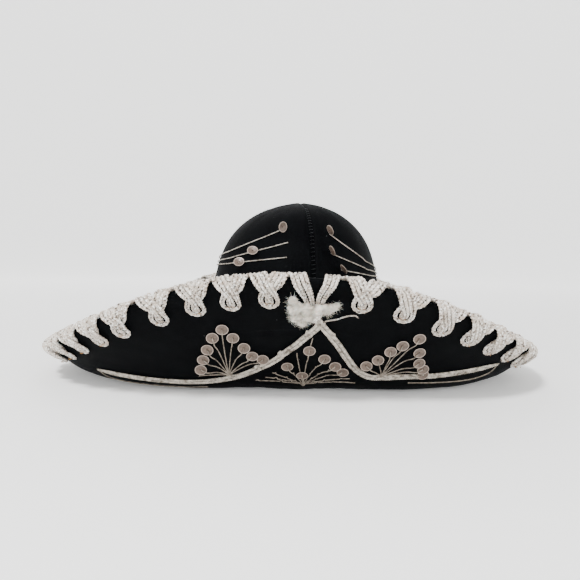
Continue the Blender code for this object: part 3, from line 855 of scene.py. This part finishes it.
def spray(name, middle, stems, turn, replaced, sequin_names):
    """Stems sewn out from one place, each through the sequin on it."""
    angle, drop = middle
    strands, taken = [], 0
    for end_angle, end_drop, share in stems:
        way = np.linspace(0.02, 1, STEM_POINTS)
        bow = math.sin(end_drop) * 0.25 * np.sin(PI * way)
        length = math.hypot(math.radians(end_angle - angle) * 150, end_drop - drop)
        # Sequins higher up the brim lean further. The stem lies over its disc, drops to the
        # velvet beyond the edge, and ends down in the hole
        facing = 13 * float(smooth((95 - end_drop) / 30)) + draw.uniform(-4, 4)
        from_sequin = (way - share) * length
        near = np.minimum(np.abs(from_sequin), DISC_EDGE)
        uphill = (drop - end_drop) / length
        over_disc = 2.0 + near * uphill * math.tan(math.radians(facing)) + 0.6 * (near / 4.1)**2
        past_edge = np.maximum(np.abs(from_sequin) - DISC_EDGE, 0)
        lie = STEM_HEIGHT + (over_disc - STEM_HEIGHT) * np.exp(-(past_edge / 6)**2)
        lie = np.where((from_sequin > 0.4) | (share == 0), STEM_HEIGHT, lie)
        sink = smooth((from_sequin + 0.5) / 0.5) if share == 1 else 0
        turns = angle + (end_angle - angle) * way + bow
        drops = (drop + (end_drop - drop) * way) * MM
        points, away = over_brim(turns + turn, drops, (lie - sink * 1.5) * MM)
        path, away = evenly(points, 0.3 * MM, away)
        strands += twisted(path, away, 0.40 * MM)
        if share:
            spot = int(round(share * (STEM_POINTS - 1)))
            point, out = over_brim(turns[spot] + turn, drops[spot], 1.3 * MM)
            piece_name, node = sequin_names(taken)
            add_sequin(piece_name, point, out, facing, 90 + draw.uniform(-12, 12), node)
            taken += 1
    strands += hub(lambda x, y, h: over_brim(angle + turn + np.degrees(x / HUB_RADIUS), drop * MM - y, h))
    threads = tubes(name, strands, 5, GREY_SILVER)
    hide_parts(replaced)


def hub(place):
    """Wraps of thread where the stems of a spray meet. place turns a distance across, one up and
    a height into points on the hat."""
    strands = []
    for _ in range(9):
        turn, reach = draw.uniform(0, 2 * PI), draw.uniform(1.2, 2.4) * MM
        share = np.linspace(-1, 1, 12)
        off = draw.uniform(-0.7, 0.7, 2) * MM
        x = off[0] + share * reach * math.cos(turn)
        y = off[1] + share * reach * math.sin(turn)
        points, away = place(x, y, (1.35 - 1.1 * share**2) * MM)
        strands.append((points, away, 0.33 * MM, 0.33 * MM))
    return strands


def sprays():
    for side, (middle, stems) in SPRAYS:
        spray(
            f"spray_front_{side}", middle, stems, 0, f"spray_threads_front_{side}",
            lambda k: (f"cup_sequin_{side}_{k + 1}", f"sequin_{side}_{k + 1}"))
        spray(
            f"spray_back_{side}", middle, stems, 180, f"spray_threads_back_{side}",
            lambda k: (f"cup_sequin_back_{side}_{k + 1}", None))


# Stems on the crown, from the middle of the spray outwards, as (degrees, height in mm), and the
# place of each one's sequin: its degrees, height, lean and the way that it leans
CROWN_LEFT = ((-141, 86), [
    ([(-70, 98.3), (-52, 102.4), (-31, 110.0), (-13.4, 117.5)], (-12.5, 117.4, 66, -28)),
    ([(-64, 93.9), (-47, 96.9), (-25, 102.4), (-7, 107.7)], (-31.5, 100.3, 32, 42)),
    ([(-66, 90.0), (-47, 91.6), (-25, 94.2), (-7, 96.5)], (-40.5, 91.6, 40, 40)),
    ([(-138, 104), (-130, 122)], (-130, 122, 10, 0)),
    ([(-170, 104), (-204, 114)], (-204, 114, 20, 0)),
    ([(-175, 96), (-210, 101)], (-198, 99.5, 0, 0)),
    ([(-175, 89), (-205, 90)], (-192, 89.7, 0, 0))])
CROWN_RIGHT = ((124, 78), [
    ([(64, 91.7), (53, 96.5), (38, 105.7), (26, 114.6)], (24.6, 115.2, 80, 22)),
    ([(64, 86.1), (52, 89.1), (36.4, 94.6), (24, 99.7)], (22.8, 100.4, 80, 22)),
    ([(66, 81.8), (55, 83.1), (41, 85.4), (30.5, 87.3)], (29.6, 86.9, 76, 30)),
    ([(120, 100), (112, 118)], (112, 118, 10, 0)),
    ([(150, 96), (190, 112)], (190, 112, 20, 0)),
    ([(150, 88), (194, 97)], (194, 97, 15, 0)),
    ([(150, 81), (188, 84)], (180, 83.5, 0, 0))])


def crown_sprays():
    for side, ((angle, height), stems) in (("right", CROWN_RIGHT), ("left", CROWN_LEFT)):
        strands = []
        for k, (stops, (spot, spot_height, lean, way)) in enumerate(stems):
            line = smooth_line([(angle, height), *stops], 40)
            points, away = crown_at(line[:, 0], climb_to(line[:, 1] * MM), 1.15 * MM)
            path, away = evenly(points, 0.3 * MM, away)
            strands += twisted(path, away, 0.45 * MM)
            over = 1.8 * MM + SEQUIN_RADIUS * math.sin(math.radians(lean)) * 0.7
            point, out = crown_at(spot, climb_to(spot_height * MM), over)
            add_sequin(f"cup_sequin_crown_{side}_{k + 1}", point, out, lean, way)
        climb, radius = climb_to(height * MM), np.interp(height * MM, PROFILE[:, 1], PROFILE[:, 0])
        strands += hub(lambda x, y, h: crown_at(angle + np.degrees(x / radius), climb + y, h + 0.5 * MM))
        threads = tubes(f"crown_spray_{side}", strands, 5, SILVER)
        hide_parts(f"crown_spray_threads_{side}")


# ---------------------------------------------------------------- knot and frayed ends

KNOT_DEGREE = 2.75              # mm along the brim in a degree, beside the knot
KNOT_RADIUS = 155 * MM
# Lumps of cotton, in mm: along the brim from the knot, drop, height, and half sizes along the
# brim, up it and out from it
LUMPS_LEFT = [
    (-14.0, 10.5, 4.2, 3.4, 4.2, 2.6), (-12.5, 17.0, 4.6, 5.2, 6.0, 3.4), (-11.6, 24.0, 4.6, 5.6, 5.6, 3.4),
    (-8.4, 30.0, 4.2, 4.0, 4.0, 2.8), (-5.5, 17.5, 5.0, 5.4, 5.2, 3.4), (-4.4, 25.0, 4.6, 4.6, 4.6, 3.0)]
LUMPS_RIGHT = [
    (1.4, 17.0, 5.0, 4.8, 4.6, 3.2), (6.2, 16.8, 4.6, 5.0, 4.4, 2.8), (10.0, 14.6, 4.2, 3.8, 3.2, 2.2),
    (12.6, 12.0, 4.2, 2.4, 2.2, 1.7)]


def tuft(name, lumps, ahead, replaced):
    """A frayed end: soft lumps of teased cotton under a haze of short curled fibres."""
    points, faces = [], []
    strands = []
    rows, columns = 18, 26
    for off, drop, height, wide, tall, deep in lumps:
        angle = np.array([KNOT_ANGLE + off / KNOT_DEGREE])
        middle, away = [v[0] for v in over_brim(angle, drop * MM, height * MM)]
        turn = np.array(Vector(away).to_track_quat("Z", "Y").to_matrix())
        lay, around = np.meshgrid(
            np.linspace(0.04, PI - 0.04, rows), np.arange(columns) * 2 * PI / columns, indexing="ij")
        ball = np.stack(
            [np.sin(lay) * np.cos(around), np.sin(lay) * np.sin(around), np.cos(lay)], -1).reshape(-1, 3)
        folds = sum(
            size * np.sin(ball @ draw.normal(0, pull, 3) + draw.uniform(0, 6))
            for size, pull in ((0.12, 3), (0.09, 6), (0.06, 11), (0.04, 19)))
        shape = np.array([wide, tall, deep]) * MM
        body = middle + (ball * shape * (0.86 + folds[:, None])) @ turn.T
        first = sum(len(p) for p in points)
        points.append(body)
        quads, _, _ = grid_quads(rows, columns, columns)
        faces += (first + quads[:, [0, 3, 2, 1]]).tolist()
        last = first + (rows - 1) * columns
        faces += [[first + c for c in range(columns)], [last + c for c in range(columns)][::-1]]
        for _ in range(int(6.5 * wide * tall)):
            way = unit(draw.normal(0, 1, 3))
            way[2] = abs(way[2]) if draw.random() < 0.8 else way[2]
            root = middle + turn @ (way * shape * 0.82)
            heading = unit(way + draw.normal(0, 0.75, 3) + np.array([ahead, 0.0, -0.1]))
            share = np.linspace(0, 1, 8)[:, None]
            curl = np.cumsum(draw.normal(0, 0.34, (8, 3)), axis=0)
            length = draw.uniform(1.2, 4.2) * MM
            line = root + np.cumsum(unit(heading + curl), axis=0) @ turn.T * length / 8
            out = np.broadcast_to(away, line.shape)
            thin = draw.uniform(0.07, 0.15) * MM * (1 - 0.7 * share[:, 0])
            strands.append((line, out, thin, thin))
    body = add_piece(name, np.vstack(points), faces, COTTON)
    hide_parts(replaced)
    tubes(f"{name}_fibres", strands, 3, COTTON)


def knot():
    """The two ends of the braid, tied and frayed out on both sides."""
    tuft("frayed_tuft_left", LUMPS_LEFT, -0.5, "frayed_end_left")
    tuft("frayed_tuft_right", LUMPS_RIGHT, 0.6, "frayed_end_right")
    strands = []
    for turn, reach, high, aside in ((84, 7.5, 4.4, 0.6), (97, 7.0, 3.8, -1.2), (76, 5.0, 3.8, 2.4)):
        share = np.linspace(-1, 1, 36)
        tilt = math.radians(turn)
        x, y = (share * reach * math.cos(tilt) + aside) * MM, share * reach * math.sin(tilt) * MM
        points, away = over_brim(
            KNOT_ANGLE + np.degrees(x / KNOT_RADIUS), 25 * MM - y, (high - 2.8 * share**2) * MM)
        strands += plait(points, away, 3.4 * MM, 1, 5 * MM, 0.3 * MM)
    wraps = tubes("braid_knot_wraps", strands, 6, RAYON)
    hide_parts("braid_knot")
    stray = [
        (8.2, 0.0315), (9.6, 0.0298), (11.2, 0.0278), (13.2, 0.0240), (15.0, 0.0222), (16.0, 0.0236)]
    path, away = on_brim_line(stray, 1.3 * MM, 20, 0.35 * MM)
    yarn = tubes("stray_yarn", twisted(path, away, 0.5 * MM, 3 * MM), 6, RAYON)
    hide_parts("loose_thread")


# ---------------------------------------------------------------- solids that stay

def finish_solids():
    """The stiff pieces inside the hat keep their solids and get their own finishes."""
    finishes = {
        "crown_shell": woven("buckram", 1.0 * MM, "#a39a86", "#c9c0ab", 0.85),
        "brim_board": pressed_board(), "brim_edge_wire": drawn_wire()}
    for node, finish in finishes.items():
        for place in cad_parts[node].material_slots:
            place.material = finish


# ---------------------------------------------------------------- studio

def studio():
    """Seamless pale paper, turned up all the way round, and soft light."""
    bend, flat, wall = 3.0, 2.0, 0.5
    curve = [(flat + bend * math.sin(t), bend - bend * math.cos(t)) for t in np.linspace(0, PI / 2, 16)]
    profile = [(0.02, 0), (0.5, 0), (1.2, 0), *curve, (flat + bend, bend + wall)]
    segments = 96
    turns = np.arange(segments) * 2 * PI / segments
    points = np.array([(r * math.cos(t), r * math.sin(t), z) for r, z in profile for t in turns])
    quads, _, _ = grid_quads(len(profile), segments, segments)
    faces = quads[:, [0, 3, 2, 1]].tolist() + [list(range(segments))]
    mesh = bpy.data.meshes.new("studio_floor")
    mesh.from_pydata(points.tolist(), [], faces)
    mesh.shade_smooth()
    mesh.materials.append(studio_paper())
    put("studio_floor", mesh)
    world = bpy.data.worlds.new("studio_sky")
    world.use_nodes = True
    sky = world.node_tree.nodes["Background"]
    sky.inputs["Color"].default_value = hex_colour("#fbfcff")
    sky.inputs["Strength"].default_value = 0.5
    bpy.context.scene.world = world
    lamps = (
        ("key_light", (-0.5, -1.0, 1.35), 0.35, 40),
        ("back_light", (-0.3, 1.3, 1.5), 1.4, 12),
        ("fill_light", (1.1, -1.0, 0.7), 0.8, 5))
    for name, place, size, power in lamps:
        light = bpy.data.lights.new(name, "AREA")
        light.shape = "DISK"
        light.size = size
        light.energy = power
        lamp = put(name, light)
        lamp.location = place
        lamp.rotation_mode = "QUATERNION"
        lamp.rotation_quaternion = (Vector((0, 0, 0.05)) - lamp.location).to_track_quat("-Z", "Y")


def camera():
    """Close in front, a little over the rim."""
    pitch, roll = math.radians(3.64), math.radians(0.73)
    right, up = Vector((1, 0, 0)), Vector((0, math.sin(pitch), math.cos(pitch)))
    back = Vector((0, -math.cos(pitch), math.sin(pitch)))
    side = right * math.cos(roll) + up * math.sin(roll)
    top = up * math.cos(roll) - right * math.sin(roll)
    lens = bpy.data.cameras.new("camera")
    lens.lens, lens.sensor_width = 40.345, 36
    lens.clip_start = 0.01
    eye = put("camera", lens)
    facing = Matrix((side, top, back)).transposed().to_4x4()
    eye.matrix_world = Matrix.Translation((-0.0006, -0.559, 0.1035)) @ facing
    bpy.context.scene.camera = eye


camera()
studio()
finish_solids()
brim_velvet()
crown_velvet()
seam_stitches()
inside()
edge_braid()
scrolls()
sprays()
crown_sprays()
knot()
